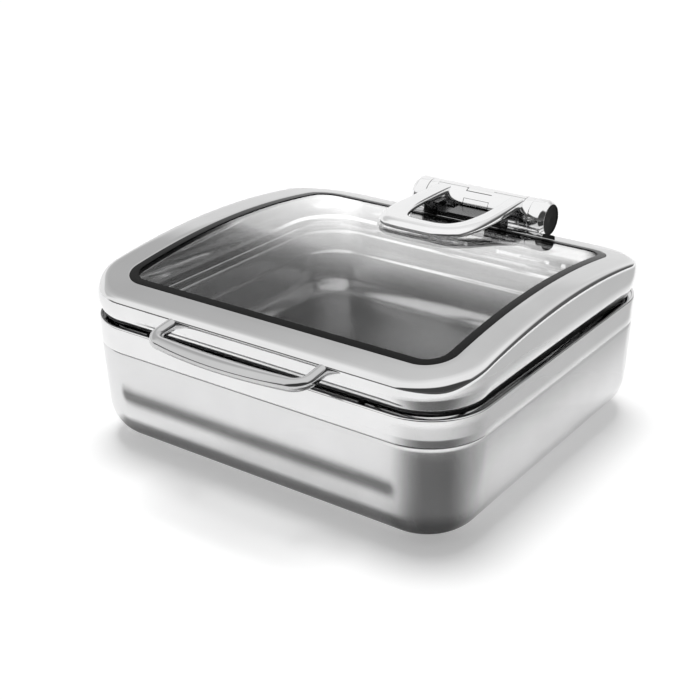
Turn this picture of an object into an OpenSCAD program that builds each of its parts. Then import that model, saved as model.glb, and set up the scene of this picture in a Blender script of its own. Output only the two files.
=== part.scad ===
// Induction chafing dish with an arched glass lid on a damped rear hinge.
// Millimetres. Z is up, Y points to the back of the dish and X to its right.
// The origin is the middle of the induction plate's face on the table.

/* [Dish] */
// Width over the polished rim
rim_w = 390; // [360:1:430]
// Depth over the polished rim
rim_d = 361; // [335:1:400]
// Corner radius of the rim seen from above
rim_r = 55; // [48:1:60]
// Height of the rim's top over the table
rim_h = 120; // [108:1:140]
// Height of the polished band
band_h = 23; // [20:1:28]
// Width of the round lip on top of the band
lip_w = 3.2; // [2.8:0.1:4]
// Depth of the outer shelf below the rim's top
ledge_drop = 3.5; // [3:0.5:4.5]
// Reach of the outer shelf in from the outside of the band
shelf_w = 10; // [9.5:0.1:11]
// Depth of the food pan's seat below the rim's top
seat_drop = 7.5; // [6.5:0.5:9]
// Reach of the seat in from the outside of the band
ledge_w = 27; // [25:0.5:29]
// Depth of the turned down edge of the seat
ledge_hem = 7; // [5:0.5:9]
// Sheet thickness of rim, water pan and lid frame
sheet = 1.2; // [1:0.1:1.5]
// Lean of the water pan's wall in degrees
wall_lean = 2.5; // [1:0.5:4]
// Radius between the water pan's wall and its bottom
pan_fillet = 36; // [28:1:38]
// Step of the water pan's wall in from the band
body_in = 0.4; // [0:0.1:1]
// Width of the water pan's top flange
pan_collar = 6; // [4:0.5:7]
// Thickness of the induction plate
base_t = 3; // [2:0.5:5]
// Distance of the induction plate's edge from the outside of the band
base_in = 46; // [46:1:54]
// Corner radius of the induction plate
base_r = 18; // [10:1:30]

/* [Lid bumpers] */
// Diameter of a bumper
bumper_d = 5.6; // [4.5:0.1:5.8]
// Distance of a bumper's middle from the outside of the band
bumper_in = 7; // [6.6:0.1:7.1]
// Distance between the bumpers of one side
bumper_gap = 220; // [160:5:240]

/* [Food pan] */
// Rim left outside the food pan's flange
pan_margin = 18; // [16:0.5:20]
// Width of the food pan's flange
flange_w = 14; // [12:0.5:16]
// Corner radius of the food pan's flange
flange_r = 28; // [24:1:34]
// Corner radius of the food pan's opening
mouth_r = 45; // [36:1:50]
// Depth of the food pan
food_depth = 65; // [40:1:80]
// Depth of the food pan's stacking step
step_depth = 22; // [16:1:26]
// Width of the food pan's stacking step
step_in = 2; // [1.5:0.1:3]
// Lean of the food pan's wall in degrees
food_lean = 4; // [2:0.5:6]
// Radius between the food pan's wall and its bottom
food_fillet = 20; // [12:1:25]
// Sheet thickness of the food pan
food_t = 1; // [0.8:0.1:1.4]

/* [Lid] */
// Gap between the rim's top and the lid's lower edge
lid_gap = 3.4; // [2.5:0.1:5]
// Height of the lid's crown over the rim's top
lid_rise = 46; // [42:1:52]
// Radius of the lid's arch from front to back
lid_curve = 830; // [760:10:1000]
// Reach of the lid's nose past the band
nose_out = 0; // [-1:0.1:2]
// Height of the nose as a share of the lid edge's height
nose_share = 0.68; // [0.55:0.01:0.72]
// Distance of the lid's lower edge in from the band
skirt_in = 6.5; // [5.5:0.1:7.5]
// Distance of the start of the nose's rounding in from the band
shoulder_in = 10; // [8:0.5:12]
// Width of the frame from the outside of the band to the seal
frame_in = 27; // [25:0.5:29]
// Depth of the recess that holds the seal and the glass
recess = 7.5; // [6.5:0.1:9]
// Width of the seal that shows beside the glass
seal_w = 2.4; // [2:0.1:3.5]
// Width of the seal's lip under the glass
seal_lip = 5.6; // [4:0.1:7]
// Width of the seal's lip over the glass
seal_over = 6.7; // [4:0.1:9]
// Thickness of the seal's lip over the glass
seal_t = 0.6; // [0.4:0.1:0.8]
// Thickness of the glass
glass_t = 4; // [3:0.5:5]

/* [Handle] */
// Distance between the middles of the handle's legs
grip_span = 155; // [120:1:170]
// Distance from the lid's nose to the middle of the grip
grip_reach = 30; // [27:0.5:36]
// Bow of the grip from its ends to its middle
grip_bow = 3.5; // [2:0.5:5]
// Radius of the bends between the legs and the grip
grip_bend = 13; // [11:0.5:16]
// Drop of the grip below its feet
grip_drop = 4; // [3:0.5:6]
// Width of the grip at its middle
grip_w = 17; // [12:0.5:20]
// Width of the handle's legs
leg_w = 10.5; // [10:0.5:13]
// Thickness of the handle
grip_t = 10.5; // [10:0.5:13]
// Diameter of the handle screws
grip_screw = 5; // [4:0.5:5]
// Depth of the handle screws in the legs
grip_thread = 9; // [6:0.5:10]

/* [Hinge] */
// Distance of the hinge axle behind the band
hinge_back = 17.5; // [17:0.5:22]
// Height of the hinge axle over the rim's top
hinge_up = 33.8; // [33:0.2:38]
// Diameter of the barrel's turning parts
barrel_d = 36.4; // [32:0.2:36.8]
// Diameter of the fixed end collars
collar_d = 37.2; // [35.6:0.2:38]
// Length of an end collar
collar_len = 17; // [16.4:0.2:24]
// Length of the taper at a collar's outer end
collar_taper = 4; // [2:0.5:6]
// Length of a spacer ring
spacer_len = 9.3; // [4:0.1:12]
// Length of a lever ear
ear_len = 32; // [26:0.5:36]
// Length of the middle knuckle
knuckle_len = 34; // [24:0.5:44]
// Diameter of the hinge axle
axle_d = 8; // [6:0.5:9]
// Diameter of a rotary damper
damper_d = 23.6; // [18:0.2:24]
// Length of a rotary damper
damper_len = 12; // [9:0.5:12]
// Diameter of a black end cap
cap_d = 30.2; // [28:0.2:33]
// Thickness of an end cap
cap_t = 2.5; // [2:0.1:3.5]
// Width of a housing's arm
arm_w = 12; // [9:0.5:16]
// Depth of a housing's arm from front to back
arm_t = 16; // [12:0.5:20]
// Length of a housing's foot
foot_len = 41; // [38:1:48]
// Height of a housing's foot
foot_h = 19; // [15:0.5:19]
// Thickness of a housing's foot
foot_t = 6; // [5:0.5:7]
// Diameter of the housing screws
foot_screw = 5; // [4:0.5:6]
// Distance between the two screws of a housing
foot_pitch = 15; // [12:0.5:17]
// Thickness of the backing bar behind the housing screws
backing_t = 4; // [3:0.5:6]
// Height of the backing bar
backing_h = 11; // [9:0.5:12]

/* [Lid knuckle] */
// Width of the knuckle's foot on the lid
sole_w = 87; // [80:1:100]
// Depth of the knuckle's foot from front to back
sole_d = 16; // [13:0.5:17]
// Height of the foot's middle over the lid's crown line
sole_up = 5.5; // [4:0.5:6]
// Width of each stop block under the lever
stop_w = 16; // [12:1:22]
// Thickness of the pad under the foot
pad_t = 0.8; // [0.5:0.1:1.2]
// Diameter of the knuckle screws
sole_screw = 4; // [3:0.5:5]
// Distance of the outer knuckle screws from each other
sole_pitch = 74; // [66:1:76]
// Distance of the inner knuckle screws from each other
sole_pitch_in = 44; // [36:1:54]
// Thickness of the backing plate inside the lid
plate_t = 2; // [1.5:0.1:2.5]

/* [Release lever] */
// Width of the lever's loop at its front
lever_w = 114; // [106:1:120]
// Distance from the axle to the front of the loop
lever_reach = 134; // [110:1:136]
// Thickness of the loop
lever_t = 7.5; // [6:0.1:8]
// Width of the loop's opening at its front
hole_w = 76; // [60:1:78]
// Width of the loop's front bar
front_bar = 25; // [16:1:30]
// Wall of the sleeve over the lid's knuckle
sleeve_t = 3; // [2.5:0.1:4]
// Angle of the sleeve's front edge over the axle in degrees
sleeve_front = 12; // [10:1:16]
// Angle of the sleeve's rear edge under the axle in degrees
sleeve_back = 30; // [20:1:32]
// Width of the latch tab in the sleeve
tab_w = 28; // [18:1:30]
// Height of the latch tab round the axle in degrees
tab_turn = 21; // [18:1:32]
// Wall of the lever bushes
bush_wall = 2; // [1.5:0.1:3]

/* [Fits] */
// Gap between the axle and what turns on it
run_fit = 0.06; // [0.03:0.01:0.09]
// Gap between pieces that rest on or pass each other
seat_gap = 0.3; // [0.2:0.05:0.4]
// Gap round a screw in its hole
screw_fit = 0.1; // [0.05:0.05:0.2]

/* [Hidden] */
round_fn = 64;
arch_fn = 360;
cut = 1;
floor_lap = 2;
// Heights of the rim
band_z = rim_h - band_h;
shelf_z = rim_h - ledge_drop;
seat_z = rim_h - seat_drop;
// Water pan: the wall hangs in the band and leans in to the bottom
pan_o = -sheet - seat_gap;
pan_top = shelf_z - sheet;
joggle_z = band_z - seat_gap;
// Food pan: its flange rests on the ledge
food_w = rim_w - 2 * pan_margin;
food_d = rim_d - 2 * pan_margin;
mouth_w = food_w - 2 * flange_w;
mouth_d = food_d - 2 * flange_w;
food_top = seat_z + seat_gap + food_t;
// Lid: an arch over Y, with its lower edge over the rim
lid_low = rim_h + lid_gap;
crown_z = rim_h + lid_rise;
arch_z = crown_z - lid_curve;
glass_in = frame_in + seat_gap + seal_w;
seal_in = glass_in + seal_lip;
// The glass, the seal and the frame's shelf lie in one another with small gaps
seal_top = -0.2;
glass_gap = 0.1;
glass_top = seal_top - seal_t - glass_gap;
over_in = glass_in + seal_over;
shelf_over = 1.5;
shelf_in = seal_in + shelf_over;
// Handle: feet on the nose at the front
nose_y = rim_d / 2 + nose_out;
nose_z = lid_low + nose_share * (arch(rim_d / 2) - lid_low);
grip_y = -nose_y - seat_gap;
// Screw heads: thickness and width over the shank
head_t = 3;
head_over = 3;
// The handle screws' heads clear the rounding above the nose
nose_rise = (1 - nose_share) * (arch(rim_d / 2) - lid_low) - sheet;
head_share = (grip_screw + head_over) / 2 / nose_rise;
head_dip = (nose_out + shoulder_in) * (1 - sqrt(1 - head_share * head_share));
// Hinge: the barrel's stations along X, from the middle out
hinge_y = rim_d / 2 + hinge_back;
hinge_z = rim_h + hinge_up;
barrel_r = barrel_d / 2;
collar_r = collar_d / 2;
axle_r = axle_d / 2;
knuckle_x = knuckle_len / 2;
ear_x = knuckle_x + seat_gap;
ear_end = ear_x + ear_len;
spacer_x = ear_end + seat_gap;
spacer_end = spacer_x + spacer_len;
collar_x = spacer_end + seat_gap;
collar_end = collar_x + collar_len;
cap_x = collar_end - cap_t;
collar_wall = 2;
// The collar tapers to a narrow face round its end cap
face_r = cap_d / 2 + run_fit + 0.5;
damper_x = collar_x + collar_wall;
axle_short = 0.5;
axle_x = damper_x + damper_len - axle_short;
band_y = rim_d / 2;
foot_lift = 1;
foot_z = band_z + foot_lift;
screw_z = foot_z + foot_h / 2;
backing_y = band_y + pan_o - sheet - seat_gap;
arm_x = collar_end - arm_w - cap_t;
foot_x = collar_end - cap_t - foot_len;
foot_mid = (foot_x + arm_x) / 2;
// Lid knuckle: foot on the rear strip of the frame, clear of seal and shoulder
sole_edge = 1.3;
sole_y = rim_d / 2 - frame_in + sole_edge;
sole_mid = sole_y + sole_d / 2;
sole_z = arch(sole_mid) + sole_up;
sole_skin = 1;
plate_in = 2;
grub_len = 8;
// Release lever: top of the loop just under the top of the barrel
lever_drop = 0.4;
lever_z = hinge_z + barrel_r - lever_drop - lever_t;
loop_power = 4.4;
hole_power = 3.4;
// The loop narrows to the outer ends of its ears
loop_back = ear_end / (lever_w / 2);
knuckle_r = barrel_r - sleeve_t - seat_gap;
front_angle = 180 - sleeve_front;
// The knuckle's tongue passes under the sleeve's front edge and the latch tab
tongue_z = hinge_z + (knuckle_r + seat_gap) * sin(sleeve_front) - 2 * seat_gap;
// Turn that opens the seat gap at the knuckle
gap_turn = atan(seat_gap / knuckle_r);

polished = "#c9ccd0";
satin = "#b3b6ba";
black = "#1b1b1d";

// Height of the lid's arch at a depth y
function arch(y) = arch_z + sqrt(lid_curve * lid_curve - y * y);

// Points of an arc about c from angle a to angle b
function arc_points(c, r, a, b, steps) =
    [for (i = [0 : steps]) let (t = a + (b - a) * i / steps) c + r * [cos(t), sin(t)]];

// Closed outline of a sheet pan's wall: offset from the outline against height.
// The wall hangs straight from top to bend, leans in and turns into the bottom,
// where it laps onto the flat floor.
function wall_outline(o, top, bend, low, t, lean, fillet, steps = 10) =
    let (
        tangent_z = low + fillet * (1 - sin(lean)),
        c = [o - (bend - tangent_z) * tan(lean) - fillet * cos(lean), low + fillet]
    )
    concat(
        [[o, top], [o, bend]],
        arc_points(c, fillet, -lean, -90, steps),
        [[c[0] - floor_lap, low], [c[0] - floor_lap, low + t]],
        arc_points(c, fillet - t, -90, -lean, steps),
        [[o - t, bend + t * tan(lean / 2)], [o - t, top]]
    );

// Offset at which the bottom of such a wall turns flat
function floor_o(o, bend, low, lean, fillet) =
    o - (bend - low - fillet * (1 - sin(lean))) * tan(lean) - fillet * cos(lean);

// Superellipse half loop from +X over -Y to -X, as points, narrowing to its back
function half_loop(w, reach, power, back, steps) =
    [for (i = [0 : steps])
        let (
            a = 180 * i / steps,
            out = pow(abs(sin(a)), 2 / power),
            half = w / 2 * (back + (1 - back) * out)
        )
        [sign(cos(a)) * half * pow(abs(cos(a)), 2 / power), -reach * out]];

// Rounded rectangle about the origin
module plan(w, d, r) {
    square([w - 2 * r, d], center = true);
    square([w, d - 2 * r], center = true);
    for (sx = [-1, 1], sy = [-1, 1])
        translate([sx * (w / 2 - r), sy * (d / 2 - r)])
            circle(r, $fn = round_fn);
}

// Outline of the rim, moved in or out by o
module rim_plan(o) {
    plan(rim_w + 2 * o, rim_d + 2 * o, rim_r + o);
}

// Profile drawn as offset against height, carried round a rounded rectangle
module carried_round(w, d, r) {
    for (i = [0 : 3]) {
        across = i % 2 == 0 ? w : d;
        along = i % 2 == 0 ? d : w;
        rotate(90 * i) {
            translate([across / 2, along / 2 - r, 0])
                rotate([90, 0, 0])
                    linear_extrude(along - 2 * r) children();
            translate([across / 2 - r, along / 2 - r, 0])
                rotate_extrude(angle = 90, $fn = round_fn)
                    translate([r, 0]) children();
        }
    }
}

// Ring or disc about the hinge axle between two places along X
module barrel(x0, x1, r) {
    translate([x0, hinge_y, hinge_z])
        rotate([0, 90, 0])
            cylinder(h = x1 - x0, r = r, $fn = round_fn);
}

// Shell about the hinge axle between two radii, from angle a up to angle b over +Y
module shell(half_len, r0, r1, a, b) {
    translate([0, hinge_y, hinge_z])
        rotate([0, 90, 0])
            rotate([0, 0, 90 + a])
                rotate_extrude(angle = b - a, $fn = round_fn)
                    translate([r0, -half_len])
                        square([r1 - r0, 2 * half_len]);
}

// Cylinder along +Y
module along_y(p, len, r) {
    translate(p)
        rotate([-90, 0, 0])
            cylinder(h = len, r = r, $fn = round_fn);
}

// Layer that follows the lid's arch, between two offsets from it
module arch_layer(top, bottom) {
    translate([0, 0, arch_z])
        rotate([0, 90, 0])
            difference() {
                cylinder(h = rim_w, r = lid_curve + top, center = true, $fn = arch_fn);
                cylinder(h = rim_w + cut, r = lid_curve + bottom, center = true, $fn = arch_fn);
            }
}

// Cylinder square to the lid's arch, from one offset to another
module through_arch(x, y, low, high, r) {
    translate([x, 0, arch_z])
        rotate([-asin(y / lid_curve), 0, 0])
            translate([0, 0, lid_curve + low])
                cylinder(h = high - low, r = r, $fn = round_fn);
}

// Places of the housing screws, the handle screws and the knuckle screws
function housing_places() =
    [for (s = [-1, 1], k = [-0.5, 0.5]) s * (foot_mid + k * foot_pitch)];
function handle_places() = [for (s = [-1, 1]) s * grip_span / 2];
function sole_places() =
    [for (s = [-1, 1], p = [sole_pitch, sole_pitch_in]) s * p / 2];

module housing_holes() {
    for (x = housing_places())
        along_y([x, backing_y - backing_t - cut, screw_z],
            foot_t + backing_t + sheet * 4, foot_screw / 2 + screw_fit);
}

module handle_holes() {
    for (x = handle_places())
        along_y([x, grip_y - grip_thread, nose_z],
            grip_thread + 2 * sheet + head_dip, grip_screw / 2 + screw_fit);
}

module sole_holes() {
    for (x = sole_places())
        through_arch(x, sole_mid, -plate_t - 2 * sheet - cut, sole_up - sole_skin,
            sole_screw / 2 + screw_fit);
}

// Base

module water_pan() {
    bottom_o = floor_o(-body_in, joggle_z, base_t, wall_lean, pan_fillet);
    color(satin)
        difference() {
            union() {
                carried_round(rim_w, rim_d, rim_r) {
                    polygon(wall_outline(-body_in, joggle_z, joggle_z - sheet, base_t,
                        sheet, wall_lean, pan_fillet));
                    translate([pan_o - sheet, joggle_z - sheet])
                        square([sheet - body_in - pan_o, sheet]);
                    translate([pan_o - sheet, joggle_z - sheet])
                        square([sheet, pan_top - joggle_z + sheet]);
                    translate([pan_o - pan_collar, pan_top - sheet])
                        square([pan_collar, sheet]);
                }
                translate([0, 0, base_t])
                    linear_extrude(sheet)
                        rim_plan(bottom_o);
            }
            housing_holes();
        }
}

module rim_frame() {
    lip_r = lip_w / 2;
    lip = arc_points([-lip_r, rim_h - lip_r], lip_r, 0, 180, 10);
    outline = concat(
        [[0, band_z]],
        lip,
        [[-lip_w, shelf_z], [-shelf_w, shelf_z], [-shelf_w, seat_z]],
        [[-ledge_w, seat_z], [-ledge_w, seat_z - ledge_hem], [sheet - ledge_w, seat_z - ledge_hem]],
        [[sheet - ledge_w, seat_z - sheet], [sheet - shelf_w, seat_z - sheet]],
        [[sheet - shelf_w, shelf_z - sheet], [-sheet, shelf_z - sheet], [-sheet, band_z]]
    );
    color(polished)
        difference() {
            carried_round(rim_w, rim_d, rim_r)
                polygon(outline);
            housing_holes();
        }
}

module induction_plate() {
    color(satin)
        linear_extrude(base_t)
            plan(rim_w - 2 * base_in, rim_d - 2 * base_in, base_r);
}

module lid_bumpers() {
    color(black)
        for (sx = [-1, 1], sy = [-1, 1])
            translate([sx * bumper_gap / 2, sy * (rim_d / 2 - bumper_in), shelf_z])
                cylinder(h = lid_low - seat_gap - shelf_z, d = bumper_d, $fn = round_fn);
}

// Collar, arm and foot of one housing on the +X side
module damper_housing() {
    color(polished)
        difference() {
            union() {
                barrel(collar_x, collar_end - collar_taper, collar_r);
                translate([collar_end - collar_taper, hinge_y, hinge_z])
                    rotate([0, 90, 0])
                        cylinder(h = collar_taper, r1 = collar_r, r2 = face_r, $fn = round_fn);
                translate([arm_x, hinge_y - arm_t / 2, foot_z])
                    cube([arm_w, arm_t, hinge_z - foot_z]);
                translate([foot_x, band_y, foot_z])
                    cube([foot_len, foot_t, foot_h]);
                translate([arm_x, band_y, foot_z])
                    cube([arm_w, hinge_back, foot_h]);
            }
            barrel(collar_x - cut, collar_end, axle_r + run_fit);
            barrel(damper_x, collar_end, damper_d / 2 + run_fit);
            barrel(cap_x, collar_end + cut, cap_d / 2 + run_fit);
            housing_holes();
        }
}

module damper_housing_right() {
    damper_housing();
}

module damper_housing_left() {
    mirror([1, 0, 0]) damper_housing();
}

module housing_screws() {
    color(polished)
        for (x = housing_places()) {
            tip = backing_y - backing_t;
            along_y([x, tip, screw_z], band_y + foot_t - tip, foot_screw / 2);
            along_y([x, band_y + foot_t, screw_z], head_t, foot_screw / 2 + head_over / 2);
        }
}

module housing_backing_bar() {
    half = foot_mid + foot_pitch / 2 + foot_screw;
    color(satin)
        difference() {
            translate([-half, backing_y - backing_t, screw_z - backing_h / 2])
                cube([2 * half, backing_t, backing_h]);
            housing_holes();
        }
}

module damper() {
    color(black)
        difference() {
            barrel(damper_x, damper_x + damper_len, damper_d / 2);
            barrel(damper_x - cut, axle_x + seat_gap, axle_r + run_fit);
        }
}

module damper_right() {
    damper();
}

module damper_left() {
    mirror([1, 0, 0]) damper();
}

module end_cap_right() {
    color(black) barrel(cap_x, cap_x + cap_t, cap_d / 2);
}

module end_cap_left() {
    color(black) barrel(-cap_x - cap_t, -cap_x, cap_d / 2);
}

// Food pan

module food_pan() {
    low = food_top - food_depth;
    step_z = food_top - step_depth;
    bottom_o = floor_o(-step_in, step_z - food_t, low, food_lean, food_fillet);
    color(satin)
        union() {
            carried_round(mouth_w, mouth_d, mouth_r) {
                translate([-food_t, step_z - food_t])
                    square([food_t, step_depth + food_t]);
                translate([-step_in - food_t, step_z - food_t])
                    square([step_in + food_t, food_t]);
                polygon(wall_outline(-step_in, step_z, step_z - food_t, low,
                    food_t, food_lean, food_fillet, 8));
            }
            translate([0, 0, low])
                linear_extrude(food_t)
                    plan(mouth_w + 2 * bottom_o, mouth_d + 2 * bottom_o, mouth_r + bottom_o);
            translate([0, 0, food_top - food_t])
                linear_extrude(food_t)
                    difference() {
                        plan(food_w, food_d, flange_r);
                        plan(mouth_w - 2 * food_t, mouth_d - 2 * food_t, mouth_r - food_t);
                    }
        }
}

// Lid

// Stations round the rim's outline as [x, y, nx, ny], with steps along the sides
function rim_stations(turn, side) =
    let (cx = rim_w / 2 - rim_r, cy = rim_d / 2 - rim_r)
    [for (q = [0 : 3])
        let (sx = q == 0 || q == 3 ? 1 : -1, sy = q < 2 ? 1 : -1)
        each concat(
            [for (k = [0 : turn]) let (a = 90 * (q + k / turn))
                [sx * cx + rim_r * cos(a), sy * cy + rim_r * sin(a), cos(a), sin(a)]],
            q % 2 == 0 ? [] :
                [for (k = [1 : side - 1]) [sx * (cx + rim_r), sy * cy * (1 - 2 * k / side), sx, 0]]
        )];

// Height of the lid's arch over the point that lies at offset o from a station
function arch_at(s, o) = arch(s[1] + s[3] * o);

// Outer line of the lid's edge at a station, from the lower edge over the nose
// and the frame into the recess: offsets against heights
function edge_line(s, low_steps, top_steps) =
    concat(
        [for (k = [0 : low_steps])
            let (u = k / low_steps, o = nose_out - (nose_out + skirt_in) * (1 - u) * (1 - u))
            [o, lid_low + nose_share * u * (arch_at(s, o) - lid_low)]],
        [for (k = [1 : top_steps])
            let (
                a = 90 * k / top_steps,
                o = nose_out - (nose_out + shoulder_in) * (1 - cos(a)),
                share = nose_share + (1 - nose_share) * sin(a)
            )
            [o, lid_low + share * (arch_at(s, o) - lid_low)]],
        [[-frame_in, arch_at(s, -frame_in)]],
        [[-frame_in, arch_at(s, -frame_in) - recess]],
        [[-shelf_in, arch_at(s, -shelf_in) - recess]]
    );

// Line moved sideways by t to its left, with mitred corners
function beside(line, t) =
    let (
        n = len(line),
        d = [for (i = [0 : n - 2]) (line[i + 1] - line[i]) / norm(line[i + 1] - line[i])],
        left = [for (v = d) [-v[1], v[0]]]
    )
    [for (i = [0 : n - 1])
        let (a = left[max(i - 1, 0)], b = left[min(i, n - 2)])
        line[i] + t * (a + b) / (1 + a * b)];

// Closed ring of sections: each section is a closed loop of points
module ring_of_sections(sections) {
    n = len(sections);
    m = len(sections[0]);
    points = [for (s = sections) each s];
    faces = [for (i = [0 : n - 1], k = [0 : m - 1])
        let (j = (i + 1) % n, l = (k + 1) % m)
        each [
            [i * m + k, j * m + k, j * m + l],
            [i * m + k, j * m + l, i * m + l]
        ]];
    polyhedron(points = points, faces = faces);
}

module lid_frame() {
    sections = [for (s = rim_stations(10, 8))
        let (
            outer = edge_line(s, 6, 7),
            inner = beside(outer, sheet),
            loop = concat(outer, [for (i = [len(inner) - 1 : -1 : 0]) inner[i]])
        )
        [for (p = loop) [s[0] + s[2] * p[0], s[1] + s[3] * p[0], p[1]]]];
    color(polished)
        difference() {
            ring_of_sections(sections);
            handle_holes();
            sole_holes();
        }
}

// Part of a layer of the lid's arch that lies in from the band by a distance
module arch_plug(top, low, inset) {
    intersection() {
        arch_layer(top, low);
        translate([0, 0, lid_low])
            linear_extrude(lid_rise)
                rim_plan(-inset);
    }
}

module lid_glass() {
    color("#dfe6e8", 0.35)
        arch_plug(glass_top, glass_top - glass_t, glass_in);
}

// Channel round the glass's edge: a side, a lip over the glass and a lip under it
module glass_seal() {
    glass_mid = glass_top - glass_t / 2;
    color(black)
        difference() {
            arch_plug(seal_top, seat_gap - recess, frame_in + seat_gap);
            arch_plug(glass_top + glass_gap, glass_top - glass_t - glass_gap, glass_in - glass_gap);
            arch_plug(cut, glass_mid, over_in);
            arch_plug(glass_mid, -recess, seal_in);
        }
}

// Middle line of the handle: leg, bend, bowed grip, bend and leg
function grip_line(leg_steps, bend_steps, bow_steps) =
    let (
        x = grip_span / 2,
        flat = x - grip_bend,
        y = grip_reach - grip_bow,
        half = concat(
            [for (k = [0 : leg_steps - 1]) [x, -(y - grip_bend) * k / leg_steps]],
            arc_points([flat, grip_bend - y], grip_bend, 0, -90, bend_steps),
            [for (k = [1 : bow_steps]) let (u = 1 - k / bow_steps)
                [flat * u, -y - grip_bow * (1 - u * u)]]
        ),
        n = len(half)
    )
    concat(half, [for (k = [2 : n]) [-half[n - k][0], half[n - k][1]]]);

// Sections of the handle along its middle line, wider toward the middle of the grip
function grip_sections(sides) =
    let (line = grip_line(4, 8, 10), last = len(line) - 1)
    [for (i = [0 : last])
        let (
            before = line[max(i - 1, 0)],
            after = line[min(i + 1, last)],
            along = (after - before) / norm(after - before),
            side = [along[1], -along[0]],
            out = min(1, abs(line[i][0]) / (grip_span / 2)),
            half = (leg_w + (grip_w - leg_w) * (1 - out * out)) / 2,
            drop = -grip_drop * line[i][1] / grip_reach
        )
        [for (k = [0 : sides - 1])
            let (a = 360 * k / sides, p = line[i] + half * cos(a) * side)
            [p[0], grip_y + p[1], nose_z - drop + grip_t / 2 * sin(a)]]];

// Closed bar through a row of sections, with flat ends
module bar_of_sections(sections) {
    n = len(sections);
    m = len(sections[0]);
    points = [for (s = sections) each s];
    walls = [for (i = [0 : n - 2], k = [0 : m - 1])
        let (l = (k + 1) % m)
        each [
            [i * m + k, i * m + l, (i + 1) * m + l],
            [i * m + k, (i + 1) * m + l, (i + 1) * m + k]
        ]];
    start = [for (k = [m - 1 : -1 : 0]) k];
    finish = [for (k = [0 : m - 1]) (n - 1) * m + k];
    polyhedron(points = points, faces = concat(walls, [start], [finish]));
}

module lid_handle() {
    color(polished)
        difference() {
            bar_of_sections(grip_sections(16));
            handle_holes();
        }
}

module handle_screws() {
    inside = -nose_y + sheet + head_dip + seat_gap;
    color(polished)
        for (x = handle_places()) {
            along_y([x, grip_y - grip_thread + screw_fit, nose_z],
                inside - grip_y + grip_thread - screw_fit, grip_screw / 2);
            along_y([x, inside, nose_z], head_t, grip_screw / 2 + head_over / 2);
        }
}

// Foot on the lid's rear strip, stop blocks under the lever, tongue and middle knuckle
module lid_knuckle() {
    color(polished)
        difference() {
            union() {
                barrel(-knuckle_x, knuckle_x, knuckle_r);
                translate([-knuckle_x, sole_y, lid_low])
                    cube([knuckle_len, hinge_y - sole_y, tongue_z - lid_low]);
                translate([-sole_w / 2, sole_y, lid_low])
                    cube([sole_w, sole_d, sole_z - lid_low]);
                for (s = [0, 1])
                    mirror([s, 0, 0])
                        translate([sole_w / 2 - stop_w, sole_y, lid_low])
                            cube([stop_w, sole_d, lever_z - seat_gap - lid_low]);
            }
            translate([0, 0, arch_z])
                rotate([0, 90, 0])
                    cylinder(h = rim_w, r = lid_curve + seat_gap + pad_t, center = true, $fn = arch_fn);
            barrel(-knuckle_x - cut, knuckle_x + cut, axle_r + run_fit / 2);
            set_screw_hole();
            sole_holes();
        }
}

// The set screw stands square under the axle's middle
module set_screw_hole() {
    translate([0, hinge_y, hinge_z - barrel_r - cut])
        cylinder(h = barrel_r + cut, d = sole_screw + 2 * screw_fit, $fn = round_fn);
}

module axle_set_screw() {
    color(black)
        translate([0, hinge_y, hinge_z - axle_r - screw_fit - grub_len])
            cylinder(h = grub_len, d = sole_screw, $fn = round_fn);
}

module knuckle_pad() {
    color(black)
        difference() {
            intersection() {
                arch_layer(seat_gap / 2 + pad_t, seat_gap / 2);
                translate([-sole_w / 2, sole_y, lid_low])
                    cube([sole_w, sole_d, lid_rise]);
            }
            sole_holes();
        }
}

module knuckle_backing_plate() {
    low = -sheet - seat_gap - plate_t;
    color(satin)
        difference() {
            intersection() {
                arch_layer(-sheet - seat_gap, low);
                translate([-sole_w / 2, sole_y, lid_low])
                    cube([sole_w, sole_d - plate_in, lid_rise]);
            }
            sole_holes();
        }
}

module knuckle_screws() {
    low = -sheet - seat_gap - plate_t;
    color(polished)
        for (x = sole_places()) {
            through_arch(x, sole_mid, low - head_t / 2, sole_up - sole_skin - screw_fit, sole_screw / 2);
            through_arch(x, sole_mid, low - head_t, low - screw_fit, sole_screw / 2 + head_over / 2);
        }
}

module hinge_axle() {
    color(satin) barrel(-axle_x, axle_x, axle_r);
}

// Rings on the axle, between the lever's ears and the housings' collars
module spacer_rings() {
    color(polished)
        for (s = [0, 1])
            mirror([s, 0, 0])
                difference() {
                    barrel(spacer_x, spacer_end, barrel_r);
                    barrel(spacer_x - cut, spacer_end + cut, axle_r + run_fit);
                }
}

// Release lever

// Room in the sleeve for the lid's knuckle, open below, where the knuckle's tongue comes out
module knuckle_room() {
    open_turn = 360 - sleeve_back - front_angle;
    open_arc = arc_points([0, 0], barrel_d, front_angle, front_angle + open_turn, 4);
    translate([-ear_x, hinge_y, hinge_z])
        rotate([90, 0, 90])
            linear_extrude(2 * ear_x) {
                circle(knuckle_r + seat_gap, $fn = round_fn);
                polygon(concat([[0, 0]], open_arc));
            }
}

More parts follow.
